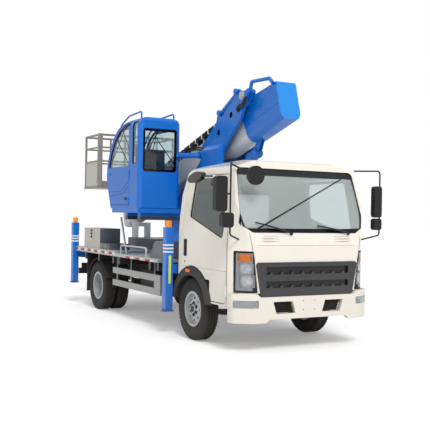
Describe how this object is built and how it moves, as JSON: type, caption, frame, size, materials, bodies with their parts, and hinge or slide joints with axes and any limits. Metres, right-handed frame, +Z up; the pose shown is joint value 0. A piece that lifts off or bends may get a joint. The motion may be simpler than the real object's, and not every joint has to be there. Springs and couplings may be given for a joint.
{
  "type": "cherry picker truck",
  "caption": "Light cab-over truck with a slewing telescopic boom, a rear-facing operator's cab, sliding outriggers and a levelled work basket.",
  "frame": {"origin": "on the ground below the middle of the whole length and width", "axes": "+X towards the truck's front, +Y to its left, +Z up"},
  "size_m": [5.995, 2.51, 3.3498],
  "materials": {
    "frame_dark": "satin",
    "cast_dark": "matte",
    "cab_cream": "gloss",
    "blue_paint": "gloss",
    "blue_dark": "gloss",
    "grey_paint": "gloss",
    "basket_grey": "satin",
    "deck_metal": "satin",
    "steel_bare": "satin",
    "rim_silver": "satin",
    "tyre": "matte",
    "plastic_black": "matte",
    "plastic_dark": "satin",
    "lamp_clear": "gloss",
    "glass": "clear",
    "seat_fabric": "woven"
  },
  "bodies": {
    "truck": {"chassis_frame": "frame_dark", "engine_block": "cast_dark", "driveline": "cast_dark", "front_axle": "cast_dark", "rear_axle": "cast_dark", "subframe": "blue_dark", "deck": "deck_metal", "deck_boxes": "grey_paint", "boom_rest": "grey_paint", "side_guards": "grey_paint", "side_tanks": "frame_dark", "rear_bar": "plastic_black", "mudguards": "plastic_black", "cab_shell": "cab_cream", "cab_glass": "glass", "cab_inside": "seat_fabric", "grille": "plastic_dark", "headlamps": "plastic_dark", "lamp_lenses": "lamp_clear", "front_bumper": "cab_cream", "mirrors": "plastic_black"},
    "knuckle_left": {"knuckle_left": "cast_dark"},
    "knuckle_right": {"knuckle_right": "cast_dark"},
    "wheel_front_left": {"front_tyre_left": "tyre", "front_rim_left": "rim_silver"},
    "wheel_front_right": {"front_tyre_right": "tyre", "front_rim_right": "rim_silver"},
    "wheels_rear_left": {"rear_tyres_left": "tyre", "rear_rims_left": "rim_silver"},
    "wheels_rear_right": {"rear_tyres_right": "tyre", "rear_rims_right": "rim_silver"},
    "door_left": {"door_left": "cab_cream", "door_glass_left": "glass"},
    "door_right": {"door_right": "cab_cream", "door_glass_right": "glass"},
    "turret": {"turret": "blue_paint", "operator_cab": "blue_paint", "operator_glass": "glass", "operator_seat": "seat_fabric"},
    "operator_door": {"operator_door": "blue_paint", "operator_door_glass": "glass"},
    "boom": {"boom_base": "grey_paint", "boom_nose": "blue_paint", "hose_chain": "plastic_black"},
    "boom_section_1": {"boom_section_1": "grey_paint"},
    "boom_section_2": {"boom_section_2": "grey_paint"},
    "boom_section_3": {"boom_section_3": "grey_paint"},
    "lift_barrel": {"lift_barrel": "blue_paint"},
    "lift_rod": {"lift_rod": "steel_bare"},
    "basket_mount": {"basket_mount": "basket_grey"},
    "basket": {"basket": "basket_grey"},
    "outrigger_front_left": {"outrigger_front_left": "blue_paint"},
    "jack_leg_front_left": {"jack_leg_front_left": "steel_bare"},
    "outrigger_front_right": {"outrigger_front_right": "blue_paint"},
    "jack_leg_front_right": {"jack_leg_front_right": "steel_bare"},
    "outrigger_rear_left": {"outrigger_rear_left": "blue_paint"},
    "jack_leg_rear_left": {"jack_leg_rear_left": "steel_bare"},
    "outrigger_rear_right": {"outrigger_rear_right": "blue_paint"},
    "jack_leg_rear_right": {"jack_leg_rear_right": "steel_bare"}
  },
  "joints": [
    {"name": "steer_left", "type": "hinge", "parent": "truck", "child": "knuckle_left", "pos_m": [1.8025, 0.755, 0.392], "axis": [0, 0, 1], "range_deg": [-35, 35]},
    {"name": "steer_right", "type": "hinge", "parent": "truck", "child": "knuckle_right", "pos_m": [1.8025, -0.755, 0.392], "axis": [0, 0, 1], "range_deg": [-35, 35]},
    {"name": "spin_front_left", "type": "hinge", "parent": "knuckle_left", "child": "wheel_front_left", "pos_m": [1.8025, 0.855, 0.392], "axis": [0, 1, 0], "continuous": true},
    {"name": "spin_front_right", "type": "hinge", "parent": "knuckle_right", "child": "wheel_front_right", "pos_m": [1.8025, -0.855, 0.392], "axis": [0, 1, 0], "continuous": true},
    {"name": "spin_rear_left", "type": "hinge", "parent": "truck", "child": "wheels_rear_left", "pos_m": [-1.5575, 0.765, 0.392], "axis": [0, 1, 0], "continuous": true},
    {"name": "spin_rear_right", "type": "hinge", "parent": "truck", "child": "wheels_rear_right", "pos_m": [-1.5575, -0.765, 0.392], "axis": [0, 1, 0], "continuous": true},
    {"name": "door_left_hinge", "type": "hinge", "parent": "truck", "child": "door_left", "pos_m": [2.7055, 0.977, 1.33], "axis": [0, 0, -1], "range_deg": [0, 65]},
    {"name": "door_right_hinge", "type": "hinge", "parent": "truck", "child": "door_right", "pos_m": [2.7055, -0.977, 1.33], "axis": [0, 0, 1], "range_deg": [0, 65]},
    {"name": "outrigger_front_left_slide", "type": "slide", "parent": "truck", "child": "outrigger_front_left", "axis": [0, 1, 0], "range_m": [0, 0.45]},
    {"name": "jack_front_left_slide", "type": "slide", "parent": "outrigger_front_left", "child": "jack_leg_front_left", "axis": [0, 0, -1], "range_m": [0, 0.35]},
    {"name": "outrigger_front_right_slide", "type": "slide", "parent": "truck", "child": "outrigger_front_right", "axis": [0, -1, 0], "range_m": [0, 0.45]},
    {"name": "jack_front_right_slide", "type": "slide", "parent": "outrigger_front_right", "child": "jack_leg_front_right", "axis": [0, 0, -1], "range_m": [0, 0.35]},
    {"name": "outrigger_rear_left_slide", "type": "slide", "parent": "truck", "child": "outrigger_rear_left", "axis": [0, 1, 0], "range_m": [0, 0.45]},
    {"name": "jack_rear_left_slide", "type": "slide", "parent": "outrigger_rear_left", "child": "jack_leg_rear_left", "axis": [0, 0, -1], "range_m": [0, 0.4]},
    {"name": "outrigger_rear_right_slide", "type": "slide", "parent": "truck", "child": "outrigger_rear_right", "axis": [0, -1, 0], "range_m": [0, 0.45]},
    {"name": "jack_rear_right_slide", "type": "slide", "parent": "outrigger_rear_right", "child": "jack_leg_rear_right", "axis": [0, 0, -1], "range_m": [0, 0.4]},
    {"name": "slew", "type": "hinge", "parent": "truck", "child": "turret", "pos_m": [-0.0225, 0, 1.495], "axis": [0, 0, -1], "range_deg": [-120, 120]},
    {"name": "operator_door_hinge", "type": "hinge", "parent": "turret", "child": "operator_door", "pos_m": [-0.0265, -1.077, 2.15], "axis": [0, 0, 1], "range_deg": [0, 80]},
    {"name": "boom_lift", "type": "hinge", "parent": "turret", "child": "boom", "pos_m": [1.7795, 0, 3.155], "axis": [0, 1, 0], "range_deg": [0, 96]},
    {"name": "extend_1", "type": "slide", "parent": "boom", "child": "boom_section_1", "axis": [-0.9598, 0, -0.2807], "range_m": [0, 3.4]},
    {"name": "extend_2", "type": "slide", "parent": "boom_section_1", "child": "boom_section_2", "axis": [-0.9598, 0, -0.2807], "range_m": [0, 3.4]},
    {"name": "extend_3", "type": "slide", "parent": "boom_section_2", "child": "boom_section_3", "axis": [-0.9598, 0, -0.2807], "range_m": [0, 3.4]},
    {"name": "basket_level", "type": "hinge", "parent": "boom_section_3", "child": "basket_mount", "pos_m": [-2.67807, 0, 1.73482], "axis": [0, 1, 0], "range_deg": [-96, 0]},
    {"name": "basket_swing", "type": "hinge", "parent": "basket_mount", "child": "basket", "pos_m": [-2.6225, 0, 2.02], "axis": [0, 0, 1], "range_deg": [-90, 90]},
    {"name": "lift_barrel_hinge", "type": "hinge", "parent": "turret", "child": "lift_barrel", "pos_m": [1.1575, 0, 2.29], "axis": [0, 1, 0], "range_deg": [0, 98.3]},
    {"name": "lift_rod_slide", "type": "slide", "parent": "lift_barrel", "child": "lift_rod", "axis": [-0.9598, 0, -0.2807], "range_m": [0, 1.583]}
  ],
  "couplings": [
    {"joint": "steer_right", "follows": "steer_left", "ratio": 1},
    {"joint": "extend_2", "follows": "extend_1", "ratio": 1},
    {"joint": "extend_3", "follows": "extend_1", "ratio": 1},
    {"joint": "basket_level", "follows": "boom_lift", "ratio": -1},
    {"joint": "lift_barrel_hinge", "follows": "boom_lift", "ratio": 1.0187},
    {"joint": "lift_rod_slide", "follows": "boom_lift", "m_per_rad": 0.9438}
  ]
}
